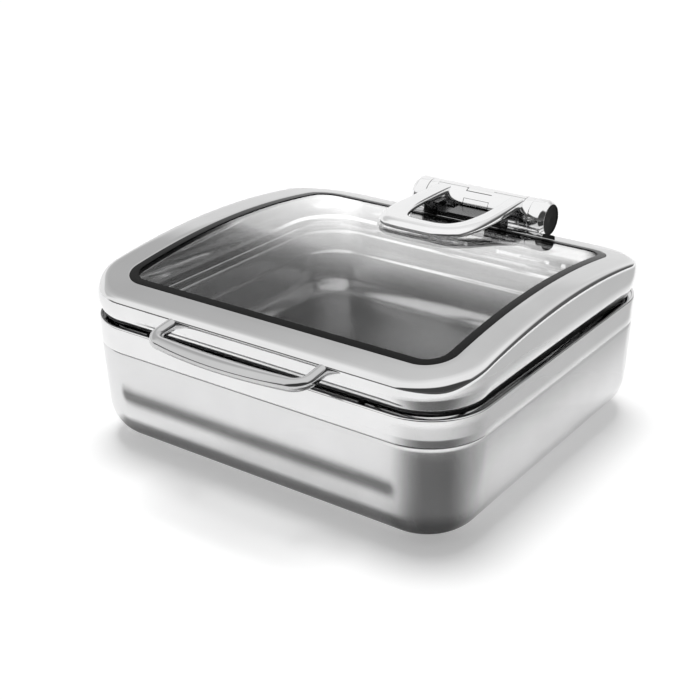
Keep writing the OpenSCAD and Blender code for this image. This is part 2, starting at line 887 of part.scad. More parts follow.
// D-shaped loop with an ear on each side and the sleeve between the ears
module release_lever() {
    clear_r = barrel_r + seat_gap;
    outer = half_loop(lever_w, lever_reach, loop_power, loop_back, 36);
    hole = half_loop(hole_w, lever_reach - front_bar, hole_power, loop_back, 36);
    color(polished)
        difference() {
            union() {
                translate([0, hinge_y, lever_z])
                    linear_extrude(lever_t)
                        difference() {
                            polygon(outer);
                            translate([0, cut]) polygon(hole);
                        }
                barrel(-ear_end, ear_end, barrel_r);
            }
            knuckle_room();
            shell(tab_w / 2 + seat_gap, knuckle_r, barrel_r + cut,
                front_angle - tab_turn - gap_turn, front_angle + sleeve_front);
            for (s = [0, 1])
                mirror([s, 0, 0]) {
                    barrel(ear_x - cut, ear_end + cut, axle_r + run_fit + bush_wall + run_fit);
                    translate([ear_end, hinge_y - clear_r, lever_z - cut])
                        cube([lever_w, 2 * clear_r, lever_t + 2 * cut]);
                }
        }
}

module lever_bushes() {
    color(black)
        for (s = [0, 1])
            mirror([s, 0, 0])
                difference() {
                    barrel(ear_x, ear_end, axle_r + run_fit + bush_wall);
                    barrel(ear_x - cut, ear_end + cut, axle_r + run_fit);
                }
}

module latch_tab() {
    color(satin)
        shell(tab_w / 2, knuckle_r + seat_gap, barrel_r, front_angle - tab_turn, front_angle);
}

water_pan();
rim_frame();
induction_plate();
lid_bumpers();
damper_housing_left();
damper_housing_right();
housing_screws();
housing_backing_bar();
damper_left();
damper_right();
end_cap_left();
end_cap_right();
food_pan();
lid_frame();
lid_glass();
glass_seal();
lid_handle();
handle_screws();
lid_knuckle();
knuckle_pad();
knuckle_backing_plate();
knuckle_screws();
hinge_axle();
axle_set_screw();
spacer_rings();
release_lever();
lever_bushes();
latch_tab();
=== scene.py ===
# %% [markdown]
# # A chafing dish with a glass lid
# The dish is a steel water pan with a polished rim, a food pan inside it, and an arched glass lid on a
# damped hinge at the back. The CAD model is already packed as a frame: every part has its place and its
# joints. In this lesson each visible part gets a smooth surface worked out with numpy, and each finish is
# made from nodes.

# %% Load the frame
import math

import bpy
import numpy as np
from mathutils import Matrix, Vector


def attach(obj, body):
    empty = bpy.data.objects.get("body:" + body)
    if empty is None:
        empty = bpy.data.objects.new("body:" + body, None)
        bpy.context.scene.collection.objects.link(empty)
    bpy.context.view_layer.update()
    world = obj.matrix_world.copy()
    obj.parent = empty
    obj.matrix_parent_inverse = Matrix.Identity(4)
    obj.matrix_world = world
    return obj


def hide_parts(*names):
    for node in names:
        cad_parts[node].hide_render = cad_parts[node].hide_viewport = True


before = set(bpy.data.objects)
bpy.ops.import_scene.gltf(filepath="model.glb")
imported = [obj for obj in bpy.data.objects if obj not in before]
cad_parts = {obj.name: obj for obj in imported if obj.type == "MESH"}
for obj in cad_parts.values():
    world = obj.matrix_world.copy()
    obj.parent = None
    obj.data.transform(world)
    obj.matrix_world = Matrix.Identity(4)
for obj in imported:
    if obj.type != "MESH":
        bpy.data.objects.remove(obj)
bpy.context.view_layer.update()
scene = bpy.context.scene

# %% [markdown]
# ## A track and a skin
# Nearly every sheet on this dish runs round one rounded rectangle: the rim's outline. So the lesson starts
# with a track: for each station a spine point and a direction that points outwards. A sheet is then a
# profile of offsets and heights carried round the track. The skin turns such a grid of points into a closed
# mesh. It could be drawn by hand and swept with a curve, but a grid keeps the edges even, and polished steel
# shows every dent.

# %% Track and skin
MM = 0.001
CREASE = math.radians(38)


def track(width, depth, radius, corner_steps=22, side_steps=26):
    """Rounded rectangle: four corner centres joined by straight spines. A point of the outline moved by o is
    spine + (radius + o) * outward, so the corners stay true arcs at every offset."""
    centres = np.array([[1, 1], [-1, 1], [-1, -1], [1, -1]]) * (width / 2 - radius, depth / 2 - radius)
    turn = (np.arange(4)[:, None] + np.linspace(0, 1, corner_steps + 1)) * math.pi / 2
    arc_out = np.stack([np.cos(turn), np.sin(turn)], -1)
    along = np.linspace(0, 1, side_steps + 1)[1:-1, None]
    side_mid = centres[:, None] * (1 - along) + np.roll(centres, -1, 0)[:, None] * along
    side_out = np.repeat(arc_out[:, -1:], side_steps - 1, 1)
    arc_mid = np.repeat(centres[:, None], corner_steps + 1, 1)
    spine = np.concatenate([arc_mid, side_mid], 1).reshape(-1, 2)
    outward = np.concatenate([arc_out, side_out], 1).reshape(-1, 2)
    return spine, outward, radius


def plan_rows(way, offsets):
    """Plan of the track: a row of x, y points for each offset, or for each row of offsets, one per
    station."""
    spine, outward, radius = way
    offsets = np.asarray(offsets, float)
    return spine + (radius + offsets.reshape(len(offsets), -1, 1)) * outward


def with_height(plan, height):
    """Adds the third coordinate to rows of plan points."""
    return np.concatenate([plan, np.broadcast_to(height, plan.shape[:2])[..., None]], -1)


def skin(grid, looped=False):
    """Quads between neighbouring rows of a grid whose columns close on themselves. A looped grid also joins
    its last row to its first; otherwise each end row is closed with one face. The faces are turned round
    when the signed volume, a sum of a . (b x c) / 6 over the triangles, is negative."""
    rows, cols = grid.shape[:2]
    points = grid.reshape(-1, 3)
    ids = np.arange(rows * cols).reshape(rows, cols)
    caps = [] if looped else [ids[0][::-1], ids[-1]]
    if looped:
        ids = np.vstack([ids, ids[:1]])
    beside = np.roll(ids, -1, 1)
    quads = np.stack([ids[:-1], beside[:-1], beside[1:], ids[1:]], -1).reshape(-1, 4)
    fans = [np.stack([np.full(cols - 2, cap[0]), cap[1:-1], cap[2:]], -1) for cap in caps]
    tris = np.concatenate([quads[:, :3], quads[:, [0, 2, 3]]] + fans)
    a, b, c = points[tris].transpose(1, 0, 2)
    if np.einsum("ij,ij->i", a, np.cross(b, c)).sum() < 0:
        quads, caps = quads[:, ::-1], [cap[::-1] for cap in caps]
    return points, quads.tolist() + [cap.tolist() for cap in caps]


def piece(name, body, nodes, finish, *skins, shade_and_seams=None):
    """One object from closed skins, in metres, riding on a body in place of its CAD nodes. The keyword value
    gives each point a number that its finish may read: 0 for the plain finish, up to 1 where the tint goes to
    near black, as painted shade in the rim's gap, under the lid, in the food pan and on the grip, and as dark
    seams on the lever."""
    starts = np.cumsum([0] + [len(points) for points, faces in skins])
    points = np.concatenate([points for points, faces in skins]) * MM
    faces = [[i + start for i in face] for start, (_, own) in zip(starts, skins) for face in own]
    mesh = bpy.data.meshes.new(name)
    mesh.from_pydata(points.tolist(), [], faces)
    mesh.shade_smooth()
    mesh.set_sharp_from_angle(angle=CREASE)
    mesh.materials.append(finish)
    if shade_and_seams is not None:
        values = mesh.attributes.new("shade_and_seams", "FLOAT", "POINT").data
        values.foreach_set("value", np.ravel(shade_and_seams).astype(np.float32))
    made = bpy.data.objects.new(name, mesh)
    scene.collection.objects.link(made)
    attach(made, body)
    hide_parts(*nodes)
    low, high = points.min(0) / MM, points.max(0) / MM
    print(name, "faces", len(faces), "from", low.round(1).tolist(), "to", high.round(1).tolist())
    return made


# %% Soft corners
MOST_CUT = 0.45


def soft_line(points, radius, steps=5, closed=False):
    """A polyline whose corners are rounded: between a point on each side of the corner c, at the radius from
    it, runs (1 - t)^2 a + 2 t (1 - t) c + t^2 b, worked out for all corners at once. A corner takes up at
    most a share of the shorter line beside it."""
    c = np.asarray(points, float)
    back, ahead = np.roll(c, 1, 0) - c, np.roll(c, -1, 0) - c
    back_len, ahead_len = np.linalg.norm(back, axis=1), np.linalg.norm(ahead, axis=1)
    cut = np.minimum(radius, MOST_CUT * np.minimum(back_len, ahead_len))
    if not closed:
        cut[[0, -1]] = 0
    a = (c + back * (cut / back_len)[:, None])[:, None]
    b = (c + ahead * (cut / ahead_len)[:, None])[:, None]
    t = np.linspace(0, 1, steps + 1)[None, :, None]
    line = (1 - t) ** 2 * a + 2 * t * (1 - t) * c[:, None] + t ** 2 * b
    if closed:
        return line.reshape(-1, 2)
    return np.concatenate([c[:1], line[1:-1].reshape(-1, 2), c[-1:]])


def arc(centre, radius, start, end, steps):
    """Points of a circle about a centre between two angles in degrees."""
    turn = np.radians(np.linspace(start, end, steps + 1))
    return np.asarray(centre) + radius * np.stack([np.cos(turn), np.sin(turn)], -1)


def ramp(values, start, end):
    """0 up to the start, 1 from the end on, and a straight line between them: (v - start) / (end - start)."""
    return np.clip((values - start) / (end - start), 0, 1)


# %% [markdown]
# ## Finishes
# Steel on this dish has two faces: a mirror polish on rim, lid, handle and hinge, and a satin grain on the
# pans. Both are metal shaders whose roughness and bump come from noise. The grain of the satin runs level
# round the walls, so its noise is stretched along the wall by squeezing the height. Object coordinates keep
# it in place when a part moves.

# %% Nodes of a finish
NOISE_LOW, NOISE_HIGH = 0.3, 0.7


def new_finish(name):
    """New material with its nodes, its links and its main shader."""
    made = bpy.data.materials.new(name)
    made.use_nodes = True
    nodes = made.node_tree.nodes
    return made, nodes, made.node_tree.links, nodes["Principled BSDF"]


def noise(nodes, links, place, scale, detail):
    """Grey noise of a scale and a number of octaves, read at a place."""
    node = nodes.new("ShaderNodeTexNoise")
    node.inputs["Scale"].default_value = scale
    node.inputs["Detail"].default_value = detail
    links.new(place, node.inputs["Vector"])
    return node.outputs["Fac"]


def tint(nodes, links, grey, dark, pale):
    """Colour from the dark to the pale one while a noise goes through its usual range."""
    node = nodes.new("ShaderNodeValToRGB")
    first, last = node.color_ramp.elements
    first.position, last.position = NOISE_LOW, NOISE_HIGH
    first.color, last.color = (*dark, 1), (*pale, 1)
    links.new(grey, node.inputs["Fac"])
    return node.outputs["Color"]


def gloss(nodes, links, grey, smooth, rough):
    """Roughness from the smooth to the rough value while a noise goes through its usual range."""
    node = nodes.new("ShaderNodeMapRange")
    node.inputs["From Min"].default_value, node.inputs["From Max"].default_value = NOISE_LOW, NOISE_HIGH
    node.inputs["To Min"].default_value, node.inputs["To Max"].default_value = smooth, rough
    links.new(grey, node.inputs["Value"])
    return node.outputs["Result"]


def bump(nodes, links, grey, strength, depth):
    """Normal of a relief that is a depth in metres high where the noise is 1."""
    node = nodes.new("ShaderNodeBump")
    node.inputs["Strength"].default_value = strength
    node.inputs["Distance"].default_value = depth
    links.new(grey, node.inputs["Height"])
    return node.outputs["Normal"]


# %% Steel finishes
CLOUD_SCALE, CLOUD_DETAIL, STROKE_DETAIL, STROKE_DEPTH = 22.0, 4.0, 6.0, 0.0004
# Near black that painted shade and dark seams mix into a steel's tint.
SEAM_AND_SHADE_BLACK = (0.012, 0.012, 0.013, 1)


def steel(name, dark, pale, smooth, rough, squeeze, grain, relief):
    """Metal whose tint lies between two greys, read from a cloudy noise. A second, squeezed noise gives the
    roughness between two values and the fine relief. The tint goes down to near black by the value each point
    of a piece carries: painted shade in gaps, under the lid and on shaded faces, and dark seams."""
    made, nodes, links, shader = new_finish(name)
    shader.inputs["Metallic"].default_value = 1.0
    place = nodes.new("ShaderNodeTexCoord").outputs["Object"]
    stretch = nodes.new("ShaderNodeMapping")
    stretch.inputs["Scale"].default_value = squeeze
    links.new(place, stretch.inputs["Vector"])
    cloud = noise(nodes, links, place, CLOUD_SCALE, CLOUD_DETAIL)
    strokes = noise(nodes, links, stretch.outputs["Vector"], grain, STROKE_DETAIL)
    shade_and_seams = nodes.new("ShaderNodeAttribute")
    shade_and_seams.attribute_name = "shade_and_seams"
    # Mix towards near black for painted shade and for dark seams.
    darkened = nodes.new("ShaderNodeMix")
    darkened.data_type = "RGBA"
    darkened.inputs["B"].default_value = SEAM_AND_SHADE_BLACK
    links.new(shade_and_seams.outputs["Fac"], darkened.inputs["Factor"])
    links.new(tint(nodes, links, cloud, dark, pale), darkened.inputs["A"])
    links.new(darkened.outputs["Result"], shader.inputs["Base Color"])
    links.new(gloss(nodes, links, strokes, smooth, rough), shader.inputs["Roughness"])
    links.new(bump(nodes, links, strokes, relief, STROKE_DEPTH), shader.inputs["Normal"])
    return made


mirror_polish = steel("mirror_polish", (0.77, 0.77, 0.772), (0.81, 0.81, 0.812),
                      smooth=0.03, rough=0.06, squeeze=(1, 1, 3), grain=60, relief=0.012)
cast_polish = steel("cast_polish", (0.88, 0.88, 0.882), (0.92, 0.92, 0.922),
                    smooth=0.08, rough=0.13, squeeze=(1, 1, 1), grain=90, relief=0.012)
satin_wall = steel("satin_wall", (0.69, 0.69, 0.693), (0.73, 0.73, 0.733),
                   smooth=0.10, rough=0.15, squeeze=(8, 8, 700), grain=3.0, relief=0.012)
satin_pan = steel("satin_pan", (0.92, 0.92, 0.923), (0.95, 0.95, 0.953),
                  smooth=0.22, rough=0.27, squeeze=(25, 25, 60), grain=3.0, relief=0.0002)
dark_steel = steel("dark_steel", (0.10, 0.10, 0.102), (0.16, 0.16, 0.163),
                   smooth=0.2, rough=0.3, squeeze=(1, 1, 1), grain=300, relief=0.03)
screw_steel = steel("screw_steel", (0.62, 0.62, 0.63), (0.76, 0.76, 0.77),
                    smooth=0.18, rough=0.3, squeeze=(1, 1, 1), grain=400, relief=0.1)
print("steel finishes:", [m.name for m in bpy.data.materials if m.users == 0])

# %% [markdown]
# ## Black parts and glass
# The seal round the glass is silicone, the hinge's caps are moulded plastic. Both are dark but never pure
# black: a fine grain breaks the gloss. The glass is clear, with a faint cloud in its tint, and casts no
# shadow of its own, so light reaches the food pan.

# %% Black finishes and glass
SPECK_DETAIL, SPECK_DEPTH = 5.0, 0.0003


def dark_finish(name, low, high, smooth, rough, grain, relief, shine):
    """Non-metal whose tint and roughness follow one fine noise, with the same noise as relief. The shine
    sets how much light it mirrors: 0.5 is a plain surface of its kind, 0 mirrors nothing."""
    made, nodes, links, shader = new_finish(name)
    shader.inputs["Specular IOR Level"].default_value = shine
    speck = noise(nodes, links, nodes.new("ShaderNodeTexCoord").outputs["Object"], grain, SPECK_DETAIL)
    links.new(tint(nodes, links, speck, (low, low, low), (high, high, high)), shader.inputs["Base Color"])
    links.new(gloss(nodes, links, speck, smooth, rough), shader.inputs["Roughness"])
    links.new(bump(nodes, links, speck, relief, SPECK_DEPTH), shader.inputs["Normal"])
    return made


seal_silicone = dark_finish("seal_silicone", 0.003, 0.006, smooth=0.18, rough=0.28, grain=900, relief=0.03,
                            shine=0.09)
cap_plastic = dark_finish("cap_plastic", 0.004, 0.008, smooth=0.4, rough=0.55, grain=1400, relief=0.15,
                          shine=0.06)
lid_pane = dark_finish("lid_pane", 0.97, 0.985, smooth=0.0, rough=0.003, grain=12, relief=0.0, shine=0.5)
pane_shader = lid_pane.node_tree.nodes["Principled BSDF"]
pane_shader.inputs["Transmission Weight"].default_value = 1.0
pane_shader.inputs["IOR"].default_value = 1.5
print("dark finishes and glass ready")

# %% [markdown]
# ## The water pan
# The body is a deep-drawn pan. Its wall hangs straight for a finger's breadth under the rim, leans in a
# little, and turns into the bottom with a large round. A lathe can't make a rounded rectangle, so the wall's
# profile is carried round the rim's track, outside down and inside up again, and each skin ends in a flat
# face.

# %% Water pan
RIM = track(390, 361, 55)
SHEET = 1.2
WALL_OUT, WALL_TOP, BEND_Z, BEND_IN_Z, FOOT_Z = -0.4, 115.2, 92.3, 92, 3
LEAN, FILLET = 2.5, 36
NECK_OUT, NECK_RISE, NECK_Z, NECK_IN_Z = -1.7, 4.4, 97.6, 96.5


def drawn_wall(out, bend, low, lean, fillet):
    """Offset and height of a drawn wall from its bend down: it leans in by an angle and turns by a quarter
    circle into the bottom at the height low; the last point lies a little further in on the flat."""
    tilt = math.radians(lean)
    tangent = low + fillet * (1 - math.sin(tilt))
    centre = (out - (bend - tangent) * math.tan(tilt) - fillet * math.cos(tilt), low + fillet)
    turn = arc(centre, fillet, -lean, -90, 18)
    return np.concatenate([[[out, bend]], turn, [[centre[0] - 6, low]]])


neck = arc((-1, 0), 1, 90, 0, 10) * (SHEET, NECK_RISE) + (WALL_OUT, BEND_Z)
outside = np.concatenate([[[NECK_OUT, WALL_TOP], [NECK_OUT, NECK_Z]], neck[:-1],
                          drawn_wall(WALL_OUT, BEND_Z, FOOT_Z, LEAN, FILLET)])
neck_in, wall_in = NECK_OUT - SHEET, WALL_OUT - SHEET
inside = np.concatenate([[[neck_in, WALL_TOP], [neck_in, NECK_IN_Z], [wall_in, BEND_Z]],
                         drawn_wall(wall_in, BEND_IN_Z, FOOT_Z + SHEET, LEAN, FILLET - SHEET)])
outside_rows = with_height(plan_rows(RIM, outside[:, 0]), outside[:, 1:2])
inside_rows = with_height(plan_rows(RIM, inside[:, 0]), inside[:, 1:2])
water_pan = piece("water_pan_wall", "base", ["water_pan"], satin_wall,
                  skin(np.concatenate([outside_rows[::-1], inside_rows])))

# %% [markdown]
# ## The rim frame
# A polished band is folded round the top of the pan. It ends in a round lip, steps down inside and carries
# the food pan on a ledge. Its profile is one closed loop of sheet, so the grid is looped and needs no end
# faces. Painted shade takes the fold in the gap under the lid almost to black and the ledge a little darker,
# fading out towards the back.

# %% Rim frame
LIP_R, LIP_Z = 1.6, 118.4
# Painted shade on the ledge and on the fold in the gap under the lid.
LEDGE_PAINTED_SHADE, LEDGE_EDGE = 0.25, -10.5
FOLD_PAINTED_SHADE, FOLD_EDGE = 0.92, -1.0

lip = arc((-LIP_R, LIP_Z), LIP_R, 0, 180, 10)
rim_fold = soft_line([(-3.2, 116.5), (-10, 116.5), (-10, 112.5), (-27, 112.5), (-27, 105.5), (-25.8, 105.5),
                      (-25.8, 111.3), (-8.8, 111.3), (-8.8, 115.3), (-1.2, 115.3), (-1.2, 97), (0, 97)],
                     [0, 1.2, 1.2, 1.4, 0.4, 0.4, 0.6, 0.6, 0.6, 0.6, 0.4, 0])
band = [[-0.4, 97.0], [-0.1, 97.1], [0, 97.4], [0, 104], [0, 112]]
rim_loop = np.concatenate([lip, rim_fold[1:-1], band])
rim_rows = with_height(plan_rows(RIM, rim_loop[:, 0]), rim_loop[:, 1:2])
# Painted shade: near black from the lip's inner half over the shelf, a little darker on the ledge inside it,
# fading out towards the back.
fold_painted_shade = np.where(rim_loop[:, 0] < FOLD_EDGE, FOLD_PAINTED_SHADE, 0)
rim_painted_shade = np.where(rim_loop[:, 0] < LEDGE_EDGE, LEDGE_PAINTED_SHADE, fold_painted_shade)
rim_painted_shade = rim_painted_shade[:, None] * ramp(rim_rows[..., 1], 130, 90)
rim_frame = piece("rim_band", "base", ["rim_frame"], mirror_polish, skin(rim_rows, looped=True),
                  shade_and_seams=rim_painted_shade)

# %% [markdown]
# ## The food pan
# The food pan hangs by its flange on the rim's ledge. Its wall has a stacking step a third of the way down,
# so that pans don't wedge together. The flange and the mouth have different corner radii, so their plans are
# mixed: a share of the one and the rest of the other. Painted shade darkens the lower wall, the floor and the
# left end.

# %% Food pan
FLANGE, MOUTH = track(354, 325, 28), track(326, 297, 45)
PAN_TOP, STEP_Z, PAN_LOW = 113.8, 91.8, 48.8
STEP_IN, STEP_HALF, STEP_ROUND = 2, 1.2, 1.6
PAN_LEAN, PAN_FILLET, MOUTH_R = 4, 20, 4
# Painted shade on the pan's lower wall, its floor and its left end.
WALL_PAINTED_SHADE, FLOOR_PAINTED_SHADE, LEFT_PAINTED_SHADE = 0.28, 0.44, 0.62
flange_edge, mouth_edge = plan_rows(FLANGE, [0])[0], plan_rows(MOUTH, [0])[0]


def pan_wall(sheet):
    """Offset and height of the pan's wall below the flange: straight, in by the step, then a drawn wall."""
    out, step = -sheet, -STEP_IN - sheet
    top = [(out, PAN_TOP - MOUTH_R), (out, STEP_Z + STEP_HALF), (step, STEP_Z - STEP_HALF)]
    low = drawn_wall(step, STEP_Z - 3, PAN_LOW + sheet, PAN_LEAN, PAN_FILLET - sheet)
    return np.concatenate([soft_line(np.concatenate([top, low[:1]]), STEP_ROUND), low[1:]])


def pan_face(sheet):
    """Rows of one face of the pan: the flange, the bend into the mouth and the wall. The upper face lies a
    sheet's thickness above and inside the lower one, which has 0."""
    share = np.linspace(0, 1, 9)[:-2, None, None]
    wall = pan_wall(sheet)
    bend = arc((MOUTH_R, PAN_TOP - MOUTH_R), MOUTH_R + sheet, 90, 180, 6)
    return np.concatenate([
        with_height(flange_edge * (1 - share) + mouth_edge * share, PAN_TOP - 1 + sheet),
        with_height(plan_rows(MOUTH, bend[:, 0]), bend[:, 1:2]),
        with_height(plan_rows(MOUTH, wall[1:, 0]), wall[1:, 1:2])])


pan_rows = np.concatenate([pan_face(1.0)[::-1], pan_face(0.0)])
pan_x, pan_z = pan_rows[..., 0], pan_rows[..., 2]
# Painted shade by height and by x: darker down the lower wall, darker still on the floor, and towards the
# left end.
pan_painted_shade = WALL_PAINTED_SHADE * ramp(pan_z, 74, 68) + FLOOR_PAINTED_SHADE * ramp(pan_z, 54, 50)
pan_painted_shade = np.maximum(pan_painted_shade, LEFT_PAINTED_SHADE * ramp(pan_x, -80, -160))
food_pan = piece("food_pan_shell", "food_pan", ["food_pan"], satin_pan, skin(pan_rows), shade_and_seams=pan_painted_shade)

# %% [markdown]
# ## The lid frame
# The lid is arched front to back, like a roof on a large circle. Its frame is one pressed sheet: a skirt
# that tucks in below, a round shoulder, a broad flat strip, and a recess that the glass lies in. Each row of
# the profile has an offset, a share of the arch's rise and a drop, so that the skirt grows with the arch at
# the sides.

# %% Lid frame
ARCH_R, ARCH_Z, LID_LOW = 830, -664, 119.6
TUCK, NOSE_SHARE, SHOULDER = 6.5, 0.68, 10
SKIRT_ROWS, SHOULDER_ROWS, UNDER_ROWS, FADE_ROWS = 15, 21, 18, 5
# Painted shade on the lid's flat strip and on its underside.
STRIP_PAINTED_SHADE, UNDER_PAINTED_SHADE = 0.22, 0.3
FOLD_CRISP, FOLD_ROUND = 4.2, 2.0


def arch(y):
    """Height of the lid's arch: a circle of the lid's radius, seen from the side."""
    return ARCH_Z + np.sqrt(ARCH_R ** 2 - y ** 2)


def arched_rows(profile):
    """Rows of the lid: the height is low + share * (arch - low) - drop at each point's own depth. The
    profile is the same all round, or has its own values at each station."""
    profile = profile.reshape(len(profile), -1, 3)
    plan = plan_rows(RIM, profile[..., 0])
    return with_height(plan, LID_LOW + profile[..., 1] * (arch(plan[..., 1]) - LID_LOW) - profile[..., 2])


def skirt(inset, up):
    """The skirt tucks in as a parabola: the offset is -tuck (1 - u)^2 at a share of nose u."""
    u = np.linspace(0, 1, SKIRT_ROWS)[::1 if up else -1]
    return np.stack([-inset - TUCK * (1 - u) ** 2, NOSE_SHARE * u, 0 * u], -1)


def shoulder(inset, up, fullness=FOLD_ROUND):
    """The shoulder is a quarter superellipse: offset -shoulder (1 - cos(a)^(2/p)), share nose + (1 - nose)
    sin(a)^(2/p). At a fullness p of 2 it is round; at 4 it is a crisp fold."""
    a = np.linspace(0, math.pi / 2, SHOULDER_ROWS)[::1 if up else -1, None]
    c, s = np.cos(a) ** (2 / fullness), np.sin(a) ** (2 / fullness)
    share = NOSE_SHARE + (1 - NOSE_SHARE) * s
    return np.stack([-inset - (SHOULDER - inset) * (1 - c), share, inset * s], -1)


def everywhere(profile):
    """The same profile at every station of the rim's track."""
    return np.broadcast_to(profile.reshape(len(profile), -1, 3), (len(profile), len(RIM[0]), 3))


recess = soft_line([(-10, 0), (-28.4, 0), (-28.4, 7.5), (-36.8, 7.5), (-36.8, 8.7), (-27.2, 8.7),
                    (-27.2, 1.2), (-10, 1.2)], [0, 1.0, 1.0, 0.4, 0.4, 0.4, 0.4, 0])
recess = np.insert(recess, 1, [[-14, 0], [-18, 0], [-22, 0]], axis=0)
recess = np.stack([recess[:, 0], np.ones(len(recess)), recess[:, 1]], -1)[1:-1]
corner_share = (2 * RIM[1][:, 0] * RIM[1][:, 1]) ** 2
fold = FOLD_CRISP + (FOLD_ROUND - FOLD_CRISP) * corner_share
lid_loop = np.concatenate([everywhere(part) for part in (
    skirt(0, True)[:-1], shoulder(0, True, fold), recess, shoulder(SHEET, False)[:-1], skirt(SHEET, False))])
lid_rows = arched_rows(lid_loop)
row = np.arange(len(lid_loop))
shoulder_end = SKIRT_ROWS + SHOULDER_ROWS - 2
under_from = shoulder_end + 1 + len(recess) - UNDER_ROWS
# Painted shade: the strip and recess darken from the end of the outer shoulder on, and the underside, from
# the recess's last rows round the inner shoulder and skirt, a little more.
strip_painted_shade = STRIP_PAINTED_SHADE * ramp(row, shoulder_end - FADE_ROWS, shoulder_end)
lid_painted_shade = np.broadcast_to(np.where(row > under_from, UNDER_PAINTED_SHADE, strip_painted_shade)[:, None], lid_rows.shape[:2])
lid_frame = piece("lid_press", "lid", ["lid_frame"], mirror_polish, skin(lid_rows, looped=True),
                  shade_and_seams=lid_painted_shade)

# %% [markdown]
# ## The lid's rests
# Four soft pads on the rim's shelf keep the skirt off the steel. Each is a profile of radii and heights spun
# about an upright line.

# %% Rests
SHELF_Z, REST_X, REST_Y, REST_R = 116.5, 110, 173.5, 2.8


def upright(x, y, profile):
    """A profile of radii and heights spun about an upright line at x, y, closed below and above."""
    turn = np.linspace(0, 2 * math.pi, 32, endpoint=False)
    plan = (x, y) + profile[:, None, :1] * np.stack([np.cos(turn), np.sin(turn)], -1)
    return skin(with_height(plan, profile[:, 1:2]))


rest = np.array([(REST_R, SHELF_Z), (REST_R, LID_LOW - 0.6), (REST_R - 0.1, LID_LOW - 0.3),
                 (REST_R - 0.4, LID_LOW - 0.2)])
rests = piece("lid_rests", "base", ["lid_bumpers"], seal_silicone,
              *[upright(x, y, rest) for x in (-REST_X, REST_X) for y in (-REST_Y, REST_Y)])

# %% [markdown]
# ## Glass and seal
# The pane's edge sits in a black silicone channel that lies in the recess: a lip over the glass, a side and
# a lip under it. The pane's faces shrink the edge's plan towards the middle, row by row, and lie on the
# arch.

# %% Glass and seal
PANE_EDGE, PANE_TOP, PANE_LOW = -30.2, 0.9, 4.9

seal_loop = soft_line([(-28.7, 0.2), (-36.4, 0.2), (-36.4, 0.8), (-29.6, 0.8), (-29.6, 5.0), (-35.3, 5.0),
                       (-35.3, 7.2), (-28.7, 7.2)], 0.25, closed=True)
seal_profile = np.stack([seal_loop[:, 0], np.ones(len(seal_loop)), seal_loop[:, 1]], -1)
glass_seal = piece("pane_seal", "lid", ["glass_seal"], seal_silicone,
                   skin(arched_rows(seal_profile), looped=True))


def pane_face(drop):
    """One face of the pane: the edge's plan times a shrinking factor, lifted onto the arch."""
    shrink = np.linspace(1, 0.02, 40)[:, None, None]
    plan = shrink * plan_rows(RIM, [PANE_EDGE])[0]
    return with_height(plan, arch(plan[..., 1]) - drop)


edge = arched_rows(np.array([[-29.9, 1, 1.05], [-29.7, 1, 1.4], [-29.7, 1, 4.4], [-29.9, 1, 4.75]]))
pane = piece("lid_window", "lid", ["lid_glass"], lid_pane,
             skin(np.concatenate([pane_face(PANE_TOP)[::-1], edge, pane_face(PANE_LOW)])))
pane.visible_shadow = False

# %% [markdown]
# ## The handle
# The grip is a solid bar, bent twice and bowed a little, widest in the middle. A bar like this is a section
# carried along a path. The section is a superellipse, fuller than an ellipse and softer than a rectangle.

# %% Handle
# GRIP_PAINTED_SHADE is painted shade: the whole grip's polish is darkened evenly.
GRIP_Y, NOSE_Z, GRIP_SLOPE, GRIP_PAINTED_SHADE = -180.8, 138.86, 4 / 30, 0.28
BEND_X, BEND_Y, BEND_R, BOW = 64.5, -13.5, 13, 3.5
LEG_X = BEND_X + BEND_R
GRIP_THICK, GRIP_SWELL, GRIP_POWER = 10.5, 6.5, 2.1


def sharpened(wave, power):
    """A sine or cosine raised to 2 / p with its sign kept, as a superellipse needs it."""
    return np.sign(wave) * np.abs(wave) ** (2 / power)


def bar(path, width, thick, power, sides=40):
    """Superellipse section on a path: across * w/2 * sgn(cos)|cos|^(2/p) + up * t/2 * sgn(sin)|sin|^(2/p),
    with across at right angles to the path and to the vertical."""
    ahead = np.gradient(path, axis=0)
    ahead /= np.linalg.norm(ahead, axis=1)[:, None]
    across = np.cross(ahead, (0, 0, 1))
    across /= np.linalg.norm(across, axis=1)[:, None]
    up = np.cross(across, ahead)
    turn = np.linspace(0, 2 * math.pi, sides, endpoint=False)
    c, s = sharpened(np.cos(turn), power), sharpened(np.sin(turn), power)
    return (path[:, None] + across[:, None] * (np.reshape(width, (-1, 1)) / 2 * c)[..., None]
            + up[:, None] * (thick / 2 * s)[:, None])


leg = np.stack([np.full(8, -LEG_X), np.linspace(2, BEND_Y + 1, 8)], -1)
turn_in = arc((-BEND_X, BEND_Y), BEND_R, 180, 270, 14)
bow_x = np.linspace(-BEND_X, 0, 31)[1:]
bow = np.stack([bow_x, BEND_Y - BEND_R - BOW * (1 - (bow_x / BEND_X) ** 2)], -1)
half = np.concatenate([leg, turn_in, bow])
grip_plan = np.concatenate([half, (half * (-1, 1))[-2::-1]])
grip_path = np.stack([grip_plan[:, 0], GRIP_Y + grip_plan[:, 1], NOSE_Z + GRIP_SLOPE * grip_plan[:, 1]], -1)
grip_wide = GRIP_THICK + GRIP_SWELL * np.clip(1 - (grip_plan[:, 0] / LEG_X) ** 2, 0, 1)
grip_rows = bar(grip_path, grip_wide, GRIP_THICK, GRIP_POWER)
# Painted shade: the grip's tint is taken down evenly over the whole bar.
handle = piece("lid_grip", "lid", ["lid_handle"], mirror_polish, skin(grip_rows),
               shade_and_seams=np.full(grip_rows.shape[:2], GRIP_PAINTED_SHADE))

